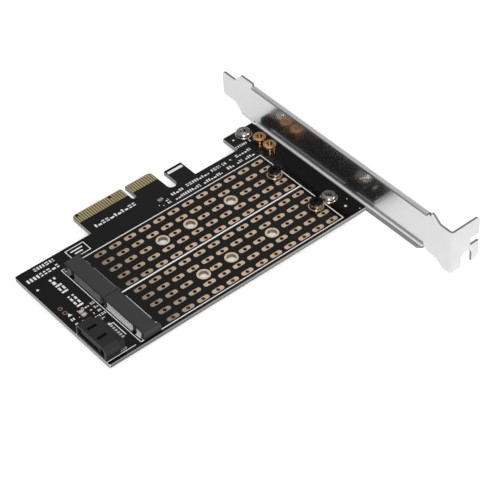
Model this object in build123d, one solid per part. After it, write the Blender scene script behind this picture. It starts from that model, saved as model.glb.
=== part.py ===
from build123d import *
import os

# Dual-drive adapter card: a short computer expansion board with a card edge, two drive
# sockets, a seven-way cable socket and a slot bracket. Lengths are in millimetres.
# The origin lies on the tip line of the card edge, on the centre line of its key notch and at
# half the board's thickness. +X runs along the board to the bracket, +Y out of the card edge
# and +Z out of the side that carries the components.

# Driving dimensions

# Circuit board
board_thickness = 1.6
board_far_end_x = -53.9
board_bracket_end_x = 56.55
shoulder_depth = 12.0
board_corner_radius = 0.6
copper_thickness = 0.05

# Card edge with its key notch at X = 0
finger_pitch = 1.0
finger_width = 0.7
finger_length = 4.3
finger_short_by = 1.3
first_finger_offset = 1.5
fingers_on_bracket_side = 11
fingers_on_far_side = 21
near_short_finger = 6
far_short_finger = 20
edge_end_margin = 0.6
key_notch_width = 1.9
key_notch_depth = 7.7
edge_corner_chamfer = 1.3
key_mouth_chamfer = 0.4
edge_bevel_length = 0.7
edge_bevel_depth = 0.35

# Slot, hook tab and bracket tab along the same edge
hook_slot_width = 3.85
hook_slot_depth = 12.2
hook_width = 7.6
hook_tip_depth = 3.42
bracket_tab_width = 13.65
bracket_tab_tip_depth = 3.77

# Thermal pads
pad_length = 4.8
pad_width = 1.9
pad_columns = 12
pad_rows = 10
first_pad_inset = 13.1
last_pad_gap = 6.3
pad_rows_above_module_line = 2

# Drive modules and their mounting holes
module_stop_x = -35.95
module_lengths = (30.0, 42.0, 60.0, 80.0)
module_thickness = 0.8
upper_module_depth = 31.25
lower_module_margin = 11.95
mounting_hole_diameter = 3.5
mounting_ring_diameter = 4.9

# Standoffs and the module screws
standoff_diameter = 4.9
standoff_height = 1.9
standoff_bore = 2.0
step_clearance = 0.05
thread_clearance = 0.05
module_screw_head_diameter = 4.7
module_screw_head_height = 0.8
module_screw_reach = 1.6
spare_standoff_inset = 4.3
spare_standoff_depth = 13.25
spare_standoff_gap = 0.8

# Drive sockets
socket_end_margin = 1.575
socket_gap = 0.35
socket_height = 3.2
socket_rear_wall = 3.1
socket_roof_cover = 2.7
socket_lip_length = 1.1
socket_lip_height = 1.3
socket_arm_width = 0.9
socket_arm_length = 0.9
socket_edge_chamfer = 0.3
module_clearance = 0.1
key_rib_width = 1.0
contact_places = 75
contact_place_pitch = 0.25
upper_key_first_place = 59
lower_key_first_place = 12
key_gap_places = 8
contact_width = 0.25
contact_thickness = 0.15
contact_clearance = 0.025
tail_length = 0.6
front_tail_length = 0.9
rear_contact_height = 2.4
lip_bridge = 0.85
hold_down_width = 0.8

# Seven-way cable socket
cable_socket_width = 16.2
cable_socket_height = 5.3
cable_socket_end_inset = 1.7
cable_socket_front_inset = 0.05
shroud_depth = 5.85
shroud_wall = 0.8
shroud_low_chamfer = 1.0
shroud_high_chamfer = 1.4
rear_block_length = 2.5
rear_block_height = 3.8
rear_block_inset = 1.0
tongue_width = 10.5
tongue_thickness = 1.1
tongue_base_height = 2.2
tongue_length = 4.6
tongue_offset = 0.65
tongue_leg_width = 1.15
tongue_leg_drop = 1.1
window_width = 1.2
window_length = 3.6
window_inset = 1.2
window_offsets = (3.2, -2.3)
cable_contacts = 7
cable_contact_pitch = 1.27
cable_contact_width = 0.45
cable_contact_thickness = 0.3
cable_contact_foot = 2.6
cable_contact_clearance = 0.05

# Slot bracket
sheet_thickness = 0.86
bend_inner_radius = 0.4
bracket_board_gap = 0.5
flange_depth = 1.6
bracket_width = 18.42
tongue_tip_y = 14.95
bracket_tongue_width = 10.19
bracket_tongue_corner = 1.2
bracket_taper_start_y = 7.8
bracket_taper_end_y = 4.2
taper_radius = 1.5
tab_face_y = -105.07
tab_offset = 2.65
tab_reach = 12.2
upper_swerve_y = (-96.0, -99.2)
lower_swerve_y = (-97.3, -101.3)
swerve_radius = 1.4
near_relief_y = -2.5
far_relief_y = -95.2
near_relief_length = 1.2
far_relief_length = 0.8
lower_flange_end_y = -91.8
lower_edge_slope_length = 2.6
relief_depth = 1.4
flange_end_bevel = 1.5
tab_screw_slot_width = 5.2
tab_screw_slot_depth = 6.0
tab_screw_slot_offset = 6.33
tab_notch_width = 3.3
tab_notch_depth = 4.1
tab_notch_drop = 7.5
tab_corner_chamfer = 1.1

# Bracket screws through the board into the bracket's ears
bracket_screw_inset = 6.3
bracket_screw_depths = (6.6, 53.1)
bracket_screw_head_diameter = 5.7
bracket_screw_head_height = 1.8
bracket_screw_edge_height = 0.9
bracket_screw_crown_run = 1.1
bracket_screw_shank = 2.9
bracket_screw_hole = 3.4
bracket_screw_past_ear = 1.0
cross_recess_length = 3.0
cross_recess_width = 0.7
cross_recess_depth = 1.0
ear_width = 5.6

# Chip components
chip_length = 2.0
chip_width = 1.2
chip_height = 0.6
chip_terminal_length = 0.4
cable_chip_inset = 6.95
cable_chip_gaps = (7.2, 5.4)
edge_chip_x = 5.7
edge_chip_drop = 2.75

# Levels and places that follow from the sizes above
top_z = board_thickness / 2
bottom_z = -board_thickness / 2
shoulder_y = -shoulder_depth
edge_right_x = first_finger_offset + (fingers_on_bracket_side - 1) * finger_pitch + edge_end_margin
edge_left_x = -first_finger_offset - (fingers_on_far_side - 1) * finger_pitch - edge_end_margin
hook_left_x = edge_right_x + hook_slot_width
hook_right_x = hook_left_x + hook_width
bracket_tab_left_x = board_bracket_end_x - bracket_tab_width
finger_tip_y = -edge_bevel_length

contact_row_width = contact_places * contact_place_pitch
socket_width = contact_row_width + 2 * socket_end_margin
module_spacing = socket_width + socket_gap
upper_module_y = -upper_module_depth
lower_module_y = upper_module_y - module_spacing
module_rows = (upper_module_y, lower_module_y)
far_y = lower_module_y - lower_module_margin
pad_row_pitch = 2 * module_spacing / pad_rows
first_pad_y = upper_module_y + pad_rows_above_module_line * pad_row_pitch
open_hole_x = [module_stop_x + length for length in module_lengths[:-1]]
post_x = module_stop_x + module_lengths[-1]

socket_slot_rear_x = module_stop_x - module_clearance
socket_rear_x = socket_slot_rear_x - socket_rear_wall
socket_roof_front_x = module_stop_x + socket_roof_cover
socket_lip_front_x = socket_roof_front_x + socket_lip_length
first_pad_x = board_bracket_end_x - first_pad_inset
last_pad_x = socket_lip_front_x + last_pad_gap
pad_column_pitch = (first_pad_x - last_pad_x) / (pad_columns - 1)
slot_floor_height = standoff_height - module_clearance
slot_ceiling_height = standoff_height + module_thickness + module_clearance

plate_inner_x = board_bracket_end_x + bracket_board_gap + flange_depth
plate_outer_x = plate_inner_x + sheet_thickness
flange_edge_x = plate_inner_x - flange_depth
bracket_low_z = bottom_z - sheet_thickness
bracket_high_z = bracket_low_z + bracket_width
bracket_middle_z = (bracket_low_z + bracket_high_z) / 2
tab_low_z = bracket_low_z - tab_offset
tab_high_z = bracket_high_z - tab_offset
tab_end_x = plate_outer_x + tab_reach
bend_outer_radius = bend_inner_radius + sheet_thickness
bracket_screw_x = board_bracket_end_x - bracket_screw_inset
bracket_screw_places = [(bracket_screw_x, -depth) for depth in bracket_screw_depths]

spare_standoff_x = board_bracket_end_x - spare_standoff_inset
spare_standoff_pitch = standoff_diameter + spare_standoff_gap
spare_standoff_places = [
    (spare_standoff_x, -spare_standoff_depth),
    (spare_standoff_x, -spare_standoff_depth - spare_standoff_pitch),
]
post_places = [(post_x, row_y) for row_y in module_rows]


def block(x_range, y_range, z_range):
    """Solid box between two limits on each axis."""
    size = [high - low for low, high in (x_range, y_range, z_range)]
    middle = [(high + low) / 2 for low, high in (x_range, y_range, z_range)]
    return Pos(*middle) * Box(*size)


def rectangle(x_range, y_range):
    """Flat rectangle between two limits on each axis."""
    middle = ((x_range[0] + x_range[1]) / 2, (y_range[0] + y_range[1]) / 2)
    return Pos(*middle) * Rectangle(x_range[1] - x_range[0], y_range[1] - y_range[0])


def side_profile(points, y_range):
    """Extrude an outline of (x, z) corners along Y between two limits."""
    outline = make_face(Polyline(*points, close=True))
    placed = Plane.XZ.offset(-y_range[1]) * outline
    return extrude(placed, amount=y_range[1] - y_range[0])


def cylinder(place, diameter, z_range):
    """Upright cylinder at an (x, y) place between two heights."""
    disc = Pos(place[0], place[1], z_range[0]) * Circle(diameter / 2)
    return extrude(disc, amount=z_range[1] - z_range[0])


def ring(place, outer_diameter, inner_diameter, z_range):
    """Flat ring at an (x, y) place between two heights."""
    annulus = Circle(outer_diameter / 2) - Circle(inner_diameter / 2)
    return extrude(Pos(place[0], place[1], z_range[0]) * annulus, amount=z_range[1] - z_range[0])


def save(name, solids):
    """Write the solids of one sub-part to parts/NAME.step."""
    export_step(Compound(solids), f"parts/{name}.step")


def corners_at(sketch, x=None, y=None):
    """Corners of a flat outline that lie on a given X line, a given Y line, or both."""
    found = sketch.vertices()
    if x is not None:
        found = found.filter_by(lambda corner: abs(corner.X - x) < 1e-6)
    if y is not None:
        found = found.filter_by(lambda corner: abs(corner.Y - y) < 1e-6)
    return found


# Circuit board

def board_outline():
    """Outline of the board with its card edge, slot, hook tab and bracket tab."""
    slot_radius = hook_slot_width / 2
    slot_middle_x = edge_right_x + slot_radius
    slot_centre_y = slot_radius - hook_slot_depth
    notch_radius = key_notch_width / 2
    notch_centre_y = notch_radius - key_notch_depth
    outline = rectangle((board_far_end_x, board_bracket_end_x), (far_y, shoulder_y))
    outline += rectangle((edge_left_x, edge_right_x), (shoulder_y, 0))
    outline += rectangle((edge_right_x, hook_left_x), (shoulder_y, slot_centre_y))
    outline += rectangle((hook_left_x, hook_right_x), (shoulder_y, -hook_tip_depth))
    outline += rectangle(
        (bracket_tab_left_x, board_bracket_end_x), (shoulder_y, -bracket_tab_tip_depth)
    )
    outline -= Pos(slot_middle_x, slot_centre_y) * Circle(slot_radius)
    outline -= rectangle((-notch_radius, notch_radius), (notch_centre_y, 0))
    outline -= Pos(0, notch_centre_y) * Circle(notch_radius)
    outline = chamfer(corners_at(outline, edge_left_x, 0), edge_corner_chamfer)
    outline = chamfer(corners_at(outline, edge_right_x, 0), edge_corner_chamfer)
    outline = chamfer(corners_at(outline, y=0).filter_by(at_key_mouth), key_mouth_chamfer)
    outline = fillet(corners_at(outline, board_far_end_x), board_corner_radius)
    outline = fillet(corners_at(outline, board_bracket_end_x, far_y), board_corner_radius)
    return outline


def at_key_mouth(corner):
    """Whether a corner is one of the two at the mouth of the key notch."""
    return abs(abs(corner.X) - key_notch_width / 2) < 1e-6


def edge_bevels():
    """Two wedges that bevel the tip of the card edge on both faces."""
    x_range = (edge_left_x, edge_right_x)
    wedges = []
    for face_z, inward in ((top_z, -1), (bottom_z, 1)):
        corners = [
            (0, face_z),
            (-edge_bevel_length, face_z),
            (0, face_z + inward * edge_bevel_depth),
        ]
        outline = make_face(Polyline(*corners, close=True))
        wedges.append(extrude(Plane.YZ.offset(x_range[0]) * outline, amount=x_range[1] - x_range[0]))
    return wedges


def circuit_board():
    """Board with the card edge bevelled and every hole drilled."""
    board = extrude(Pos(0, 0, bottom_z) * board_outline(), amount=board_thickness)
    board -= edge_bevels()
    drill = (bottom_z, top_z)
    hole_places = open_hole_places() + post_places + spare_standoff_places
    holes = [cylinder(place, mounting_hole_diameter, drill) for place in hole_places]
    holes += [cylinder(place, bracket_screw_hole, drill) for place in bracket_screw_places]
    return board - holes


def open_hole_places():
    """Places of the mounting holes that hold no standoff."""
    return [(hole_x, row_y) for row_y in module_rows for hole_x in open_hole_x]


# Copper on the board

def edge_fingers(z_range):
    """Contact fingers of the card edge on one face."""
    fingers = []
    places = [first_finger_offset + step * finger_pitch for step in range(fingers_on_bracket_side)]
    places += [-first_finger_offset - step * finger_pitch for step in range(fingers_on_far_side)]
    short_fingers = (near_short_finger, far_short_finger)
    short_places = [-first_finger_offset - (place - 1) * finger_pitch for place in short_fingers]
    for finger_x in places:
        tip_y = finger_tip_y
        if any(abs(finger_x - short_x) < finger_pitch / 2 for short_x in short_places):
            tip_y -= finger_short_by
        x_range = (finger_x - finger_width / 2, finger_x + finger_width / 2)
        fingers.append(block(x_range, (finger_tip_y - finger_length, tip_y), z_range))
    return fingers


def pad_is_free(place):
    """Whether no mounting hole takes the place of a thermal pad."""
    hole_places = open_hole_places() + post_places
    for hole_x, hole_y in hole_places:
        same_column = abs(place[0] - hole_x) < pad_column_pitch / 2
        same_row = abs(place[1] - hole_y) < pad_row_pitch / 2
        if same_column and same_row:
            return False
    return True


def thermal_pads():
    """Rows of long copper pads with cut corners that carry heat through the board."""
    pads = []
    corner_cut = pad_width / 4
    for column in range(pad_columns):
        for row in range(pad_rows):
            place = (
                first_pad_x - column * pad_column_pitch,
                first_pad_y - row * pad_row_pitch,
            )
            if not pad_is_free(place):
                continue
            outline = Rectangle(pad_length, pad_width)
            outline = chamfer(outline.vertices(), corner_cut)
            placed = Pos(place[0], place[1], top_z) * outline
            pads.append(extrude(placed, amount=copper_thickness))
    return pads


def mounting_hole_rings():
    """Copper rings round the six open mounting holes."""
    z_range = (top_z, top_z + copper_thickness)
    places = open_hole_places()
    return [ring(place, mounting_ring_diameter, mounting_hole_diameter, z_range) for place in places]


# Drive sockets

def place_y(row_y, place):
    """Y of one of the socket's contact places, counted from 1."""
    return row_y + (place - (contact_places + 1) / 2) * contact_place_pitch


def used_places(first_key_place, odd):
    """Contact places of one row, without those that the key takes."""
    key_places = range(first_key_place, first_key_place + key_gap_places)
    row = range(1 if odd else 2, contact_places + 1, 2)
    return [place for place in row if place not in key_places]


def contact_span(row_y, place, width):
    """Y limits of a strip of a given width at one contact place."""
    middle_y = place_y(row_y, place)
    return (middle_y - width / 2, middle_y + width / 2)


def key_span(row_y, first_key_place):
    """Y limits of the key rib that fills the slot between two contact groups."""
    last_key_place = first_key_place + key_gap_places - 1
    middle_y = (place_y(row_y, first_key_place) + place_y(row_y, last_key_place)) / 2
    return (middle_y - key_rib_width / 2, middle_y + key_rib_width / 2)


def socket_housing(row_y, first_key_place):
    """Moulded socket: roof over a slot, low front lip, end arms, key rib and rear comb."""
    floor_z = top_z + slot_floor_height
    ceiling_z = top_z + slot_ceiling_height
    roof_z = top_z + socket_height
    lip_z = top_z + socket_lip_height
    full_width = (row_y - socket_width / 2, row_y + socket_width / 2)
    section = [
        (socket_rear_x, top_z),
        (socket_lip_front_x, top_z),
        (socket_lip_front_x, lip_z),
        (socket_roof_front_x, floor_z),
        (socket_slot_rear_x, floor_z),
        (socket_slot_rear_x, ceiling_z),
        (socket_roof_front_x, ceiling_z),
        (socket_roof_front_x, roof_z),
        (socket_rear_x + socket_edge_chamfer, roof_z),
        (socket_rear_x, roof_z - socket_edge_chamfer),
    ]
    housing = side_profile(section, full_width)
    arm_front_x = socket_roof_front_x + socket_arm_length
    for outer_y, inward in ((full_width[0], 1), (full_width[1], -1)):
        y_range = sorted((outer_y, outer_y + inward * socket_arm_width))
        housing += block((socket_slot_rear_x, arm_front_x), y_range, (top_z, roof_z))
    rib_y = key_span(row_y, first_key_place)
    housing -= front_contact_window(full_width, rib_y)
    housing += block((socket_slot_rear_x, socket_roof_front_x), rib_y, (floor_z, ceiling_z))
    return housing - rear_recesses(full_width, rib_y)


def front_contact_window(full_width, rib_y):
    """Openings under the slot for the front contacts, with a low way out under the lip."""
    side_wall = socket_arm_width + contact_place_pitch
    halves = (
        (full_width[0] + side_wall, rib_y[0]),
        (rib_y[1], full_width[1] - side_wall),
    )
    window_x = (socket_slot_rear_x + contact_thickness, socket_lip_front_x - lip_bridge)
    floor_z = top_z + slot_floor_height
    tail_way_z = top_z + 2 * contact_thickness
    cuts = []
    for y_range in halves:
        cuts.append(block(window_x, y_range, (top_z, floor_z)))
        cuts.append(block((window_x[1], socket_lip_front_x), y_range, (top_z, tail_way_z)))
    return cuts


def rear_recesses(full_width, rib_y):
    """Recesses in the rear wall in which the rear contacts stand, one on each side of the key."""
    side_wall = socket_arm_width + contact_place_pitch
    x_range = (socket_rear_x, socket_rear_x + contact_thickness + contact_clearance)
    z_range = (top_z, top_z + rear_contact_height + contact_clearance)
    low_side = block(x_range, (full_width[0] + side_wall, rib_y[0]), z_range)
    high_side = block(x_range, (rib_y[1], full_width[1] - side_wall), z_range)
    return [low_side, high_side]


def socket_contacts(row_y, first_key_place):
    """Rear contacts with a foot and a riser, front contacts with a foot and a sprung arm."""
    riser_x = socket_rear_x + contact_thickness + contact_clearance
    foot_x = socket_rear_x - tail_length
    foot_z = top_z + contact_thickness
    rear_section = [
        (foot_x, top_z),
        (riser_x, top_z),
        (riser_x, top_z + rear_contact_height),
        (riser_x - contact_thickness, top_z + rear_contact_height),
        (riser_x - contact_thickness, foot_z),
        (foot_x, foot_z),
    ]
    arm_foot_x = socket_lip_front_x - lip_bridge - contact_thickness
    arm_tip_x = module_stop_x + socket_roof_cover / 3
    arm_tip_z = top_z + standoff_height
    front_section = [
        (socket_lip_front_x + front_tail_length, top_z),
        (socket_lip_front_x + front_tail_length, foot_z),
        (arm_foot_x, foot_z),
        (arm_tip_x, arm_tip_z),
        (arm_tip_x - contact_thickness, arm_tip_z),
        (arm_foot_x - contact_thickness, top_z),
    ]
    contacts = []
    for place in used_places(first_key_place, odd=False):
        contacts.append(side_profile(rear_section, contact_span(row_y, place, contact_width)))
    for place in used_places(first_key_place, odd=True):
        contacts.append(side_profile(front_section, contact_span(row_y, place, contact_width)))
    return contacts


def socket_hold_downs():
    """Soldered tabs at the two rear corners of each socket."""
    tabs = []
    for row_y in module_rows:
        for side in (-1, 1):
            middle_y = row_y + side * (socket_width / 2 - hold_down_width)
            x_range = (socket_rear_x - tail_length, socket_rear_x)
            y_range = (middle_y - hold_down_width / 2, middle_y + hold_down_width / 2)
            tabs.append(block(x_range, y_range, (top_z, top_z + 2 * contact_thickness)))
    return tabs


# Seven-way cable socket

cable_socket_low_y = far_y + cable_socket_end_inset
cable_socket_y = (cable_socket_low_y, cable_socket_low_y + cable_socket_width)
cable_socket_middle_y = cable_socket_low_y + cable_socket_width / 2
cable_front_x = board_far_end_x + cable_socket_front_inset
shroud_rear_x = cable_front_x + shroud_depth
rear_block_x = shroud_rear_x + rear_block_length
tongue_middle_y = cable_socket_middle_y + tongue_offset
tongue_y = (tongue_middle_y - tongue_width / 2, tongue_middle_y + tongue_width / 2)
tongue_z = (top_z + tongue_base_height, top_z + tongue_base_height + tongue_thickness)
cavity_rear_x = shroud_rear_x - shroud_wall
tongue_front_x = cavity_rear_x - tongue_length


def shroud():
    """Walls round the mouth, with the two upper edges cut off."""
    high_z = top_z + cable_socket_height
    section = [
        (cable_socket_y[0], top_z),
        (cable_socket_y[0], high_z - shroud_high_chamfer),
        (cable_socket_y[0] + shroud_high_chamfer, high_z),
        (cable_socket_y[1] - shroud_low_chamfer, high_z),
        (cable_socket_y[1], high_z - shroud_low_chamfer),
        (cable_socket_y[1], top_z),
    ]
    outer = make_face(Polyline(*section, close=True))
    mouth = offset(outer, amount=-shroud_wall, kind=Kind.INTERSECTION)
    outer_solid = extrude(Plane.YZ.offset(cable_front_x) * outer, amount=shroud_depth)
    mouth_depth = cavity_rear_x - cable_front_x
    return outer_solid - extrude(Plane.YZ.offset(cable_front_x) * mouth, amount=mouth_depth)


def cable_socket_housing():
    """Right-angle moulded shroud with a keyed tongue, two top windows and a rear block."""
    housing = shroud()
    block_y = (cable_socket_y[0] + rear_block_inset, cable_socket_y[1] - rear_block_inset)
    housing += block((shroud_rear_x, rear_block_x), block_y, (top_z, top_z + rear_block_height))
    housing += block((tongue_front_x, cavity_rear_x), tongue_y, tongue_z)
    leg_y = (tongue_y[0], tongue_y[0] + tongue_leg_width)
    leg_z = (tongue_z[0] - tongue_leg_drop, tongue_z[0])
    housing += block((tongue_front_x, cavity_rear_x), leg_y, leg_z)
    window_x = (cable_front_x + window_inset, cable_front_x + window_inset + window_length)
    high_z = top_z + cable_socket_height
    for window_offset in window_offsets:
        middle_y = cable_socket_middle_y + window_offset
        window_y = (middle_y - window_width / 2, middle_y + window_width / 2)
        housing -= block(window_x, window_y, (high_z - shroud_wall, high_z))
    return housing - [contact_channel(contact_y) for contact_y in cable_contact_rows()]


def cable_contact_rows():
    """Y of each of the cable socket's contacts, centred on the clear part of the tongue."""
    middle_y = tongue_middle_y + tongue_leg_width / 2
    first_y = middle_y - (cable_contacts - 1) * cable_contact_pitch / 2
    return [first_y + step * cable_contact_pitch for step in range(cable_contacts)]


def contact_channel(contact_y):
    """Passage for one contact through the back wall and the rear block."""
    half_width = cable_contact_width / 2 + cable_contact_clearance
    low_z = tongue_z[0] - cable_contact_thickness - cable_contact_clearance
    y_range = (contact_y - half_width, contact_y + half_width)
    return block((cavity_rear_x, rear_block_x), y_range, (low_z, tongue_z[0]))


def cable_socket_contacts():
    """Seven strips under the tongue that bend down to a foot behind the socket."""
    tip_x = tongue_front_x + cable_contact_thickness
    riser_x = rear_block_x + cable_contact_thickness
    under_tongue = tongue_z[0]
    strip_low = under_tongue - cable_contact_thickness
    foot_top = top_z + cable_contact_thickness
    section = [
        (tip_x, strip_low),
        (tip_x, under_tongue),
        (riser_x + cable_contact_thickness, under_tongue),
        (riser_x + cable_contact_thickness, foot_top),
        (rear_block_x + cable_contact_foot, foot_top),
        (rear_block_x + cable_contact_foot, top_z),
        (riser_x, top_z),
        (riser_x, strip_low),
    ]
    contacts = []
    for contact_y in cable_contact_rows():
        y_range = (contact_y - cable_contact_width / 2, contact_y + cable_contact_width / 2)
        contacts.append(side_profile(section, y_range))
    return contacts


def cable_socket_hold_downs():
    """Soldered tabs at both ends of the rear block."""
    tabs = []
    block_y = (cable_socket_y[0] + rear_block_inset, cable_socket_y[1] - rear_block_inset)
    z_range = (top_z, top_z + 2 * cable_contact_thickness)
    x_range = (shroud_rear_x, rear_block_x)
    tabs.append(block(x_range, (block_y[0] - hold_down_width, block_y[0]), z_range))
    tabs.append(block(x_range, (block_y[1], block_y[1] + hold_down_width), z_range))
    return tabs


# Slot bracket

def plate_outline():
    """Flat outline of the plate seen along X, as (y, z) corners with rounded bends."""
    half_tongue = bracket_tongue_width / 2
    tongue_low = bracket_middle_z - half_tongue
    tongue_high = bracket_middle_z + half_tongue
    tip = [(tongue_tip_y, tongue_low), (tongue_tip_y, tongue_high)]
    taper = [
        (bracket_taper_start_y, tongue_high),
        (bracket_taper_end_y, bracket_high_z),
        (bracket_taper_end_y, bracket_low_z),
        (bracket_taper_start_y, tongue_low),
    ]
    swerve = [
        (upper_swerve_y[0], bracket_high_z),
        (upper_swerve_y[1], tab_high_z),
        (lower_swerve_y[1], tab_low_z),
        (lower_swerve_y[0], bracket_low_z),
    ]
    foot = [(tab_face_y, tab_high_z), (tab_face_y, tab_low_z)]
    corners = tip + taper[:2] + swerve[:2] + foot + swerve[2:] + taper[2:]
    outline = make_face(Polyline(*corners, close=True))
    outline = fillet(matching(outline, tip), bracket_tongue_corner)
    outline = fillet(matching(outline, taper), taper_radius)
    return fillet(matching(outline, swerve), swerve_radius)


def matching(sketch, places):
    """Corners of a flat outline that lie at the given places."""
    def listed(corner):
        return any(abs(corner.X - x) + abs(corner.Y - y) < 1e-6 for x, y in places)
    return sketch.vertices().filter_by(listed)


def channel(y_range):
    """Length of the plate whose two long edges are folded towards the board."""
    outer = rectangle((flange_edge_x, plate_outer_x), (bracket_low_z, bracket_high_z))
    inner_z = (bracket_low_z + sheet_thickness, bracket_high_z - sheet_thickness)
    inner = rectangle((flange_edge_x, plate_inner_x), inner_z)
    outer = fillet(corners_at(outer, x=plate_outer_x), bend_outer_radius)
    inner = fillet(corners_at(inner, x=plate_inner_x), bend_inner_radius)
    placed = Plane.XZ.offset(-y_range[1]) * (outer - inner)
    return extrude(placed, amount=y_range[1] - y_range[0])


def tab():
    """Sheet bent away from the board at the plate's end, seen along Z as an L."""
    sheet_y = (tab_face_y, tab_face_y + sheet_thickness)
    bend_end_y = tab_face_y + bend_outer_radius
    outer = rectangle((plate_inner_x, tab_end_x), (tab_face_y, bend_end_y))
    inner = rectangle((plate_outer_x, tab_end_x), (sheet_y[1], bend_end_y))
    outer = fillet(corners_at(outer, plate_inner_x, tab_face_y), bend_outer_radius)
    inner = fillet(corners_at(inner, plate_outer_x, sheet_y[1]), bend_inner_radius)
    sheet = extrude(Pos(0, 0, tab_low_z) * (outer - inner), amount=tab_high_z - tab_low_z)
    return sheet & tab_face()


def tab_face():
    """Outline of the tab seen along Y: cut corners, open screw slot and edge notch."""
    outline = rectangle((plate_inner_x, tab_end_x), (tab_low_z, tab_high_z))
    outline = chamfer(corners_at(outline, x=tab_end_x), tab_corner_chamfer)
    slot_x = plate_outer_x + tab_screw_slot_offset
    slot_radius = tab_screw_slot_width / 2
    slot_centre_z = tab_low_z + tab_screw_slot_depth - slot_radius
    outline -= Pos(slot_x, slot_centre_z) * Circle(slot_radius)
    outline -= rectangle((slot_x - slot_radius, slot_x + slot_radius), (tab_low_z, slot_centre_z))
    notch_high = tab_high_z - tab_notch_drop
    notch_z = (notch_high - tab_notch_width, notch_high)
    outline -= rectangle((tab_end_x - tab_notch_depth, tab_end_x), notch_z)
    placed = Plane.XZ.offset(-tab_face_y - 2 * bend_outer_radius) * outline
    return extrude(placed, amount=2 * bend_outer_radius)


def ears():
    """Tongues of the lower flange that reach under the board to the bracket screws."""
    z_range = (bracket_low_z, bottom_z)
    half_width = ear_width / 2
    bores = []
    sheets = []
    for screw_x, screw_y in bracket_screw_places:
        y_range = (screw_y - half_width, screw_y + half_width)
        sheet = block((screw_x, flange_edge_x + bend_inner_radius), y_range, z_range)
        sheets.append(sheet + cylinder((screw_x, screw_y), ear_width, z_range))
        bores.append(cylinder(
            (screw_x, screw_y), bracket_screw_shank + 2 * thread_clearance, z_range
        ))
    return sheets, bores


def flange_bevel():
    """Wedge that cuts the far end of the lower flange at a slant."""
    corners = [
        (flange_edge_x, lower_flange_end_y),
        (plate_inner_x, lower_flange_end_y),
        (flange_edge_x, lower_flange_end_y + flange_end_bevel),
    ]
    outline = make_face(Polyline(*corners, close=True))
    return extrude(Pos(0, 0, bracket_low_z) * outline, amount=sheet_thickness + bend_inner_radius)


def relief_notches():
    """Small cuts in the plate beside the ends of the folded edges."""
    near = (near_relief_y - near_relief_length, near_relief_y)
    far = (far_relief_y, far_relief_y + far_relief_length)
    lower = (bracket_low_z, bracket_low_z + relief_depth)
    upper = (bracket_high_z - relief_depth, bracket_high_z)
    places = ((near, lower), (near, upper), (far, upper))
    return [block((plate_inner_x, plate_outer_x), y_range, z_range) for y_range, z_range in places]


def lower_edge_slope():
    """Wedge that slants the plate's lower edge beyond the end of the lower flange."""
    corners = [
        (lower_flange_end_y, bracket_low_z),
        (lower_flange_end_y, bracket_low_z + relief_depth),
        (lower_flange_end_y - lower_edge_slope_length, bracket_low_z),
    ]
    outline = make_face(Polyline(*corners, close=True))
    return extrude(Plane.YZ.offset(plate_inner_x) * outline, amount=sheet_thickness)


def slot_bracket():
    """One folded sheet: tongue, channel, two ears under the board and the screw tab."""
    flat = extrude(Plane.YZ.offset(plate_inner_x) * plate_outline(), amount=sheet_thickness)
    folded_y = (far_relief_y + far_relief_length, near_relief_y - near_relief_length)
    bend_end_y = tab_face_y + bend_outer_radius
    swept_x = (plate_inner_x, plate_outer_x)
    all_z = (tab_low_z, bracket_high_z)
    unfolded = (
        (flange_edge_x, plate_outer_x),
        (folded_y[0], lower_flange_end_y),
        (bracket_low_z, bracket_middle_z),
    )
    bracket = flat - block(swept_x, folded_y, all_z)
    bracket -= block(swept_x, (tab_face_y, bend_end_y), all_z)
    bracket -= relief_notches()
    bracket += channel(folded_y) - block(*unfolded)
    bracket += flat & block(*unfolded)
    bracket -= lower_edge_slope()
    bracket += tab()
    bracket -= flange_bevel()
    sheets, bores = ears()
    return (bracket + sheets) - bores


# Fasteners

def bracket_screws():
    """Pan-head screws with a cross recess, through the board into the ears."""
    crown_z = top_z + bracket_screw_head_height
    crown_height = bracket_screw_head_height - bracket_screw_edge_height
    head = cylinder((0, 0), bracket_screw_head_diameter, (top_z, crown_z))
    rim = head.edges().group_by(Axis.Z)[-1]
    head = chamfer(rim, crown_height, bracket_screw_crown_run)
    recess_z = (crown_z - cross_recess_depth, crown_z)
    long_side = (-cross_recess_length / 2, cross_recess_length / 2)
    short_side = (-cross_recess_width / 2, cross_recess_width / 2)
    head -= block(long_side, short_side, recess_z)
    head -= block(short_side, long_side, recess_z)
    shank = cylinder((0, 0), bracket_screw_shank, (bracket_low_z - bracket_screw_past_ear, top_z))
    screw = head + shank
    return [Pos(place[0], place[1], 0) * screw for place in bracket_screw_places]


def standoffs(places):
    """Round brass posts with a step that sits in the board's hole and a threaded bore."""
    post_top_z = top_z + standoff_height
    step_diameter = mounting_hole_diameter - 2 * step_clearance
    post = cylinder((0, 0), standoff_diameter, (top_z, post_top_z))
    post += cylinder((0, 0), step_diameter, (bottom_z, top_z))
    post -= cylinder((0, 0), standoff_bore, (bottom_z, post_top_z))
    return [Pos(place[0], place[1], 0) * post for place in places]


def module_screws():
    """Flat-head screws in the standoffs at the farthest mounting holes."""
    seat_z = top_z + standoff_height
    head_z = seat_z + module_screw_head_height
    screw = cylinder((0, 0), module_screw_head_diameter, (seat_z, head_z))
    shank_diameter = standoff_bore - 2 * thread_clearance
    screw += cylinder((0, 0), shank_diameter, (seat_z - module_screw_reach, seat_z))
    return [Pos(place[0], place[1], 0) * screw for place in post_places]


# Chip components

cable_chip_x = board_far_end_x + cable_chip_inset
chip_places = [(cable_chip_x, cable_socket_y[1] + gap) for gap in cable_chip_gaps]
chip_places.append((edge_chip_x, shoulder_y - edge_chip_drop))


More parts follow.
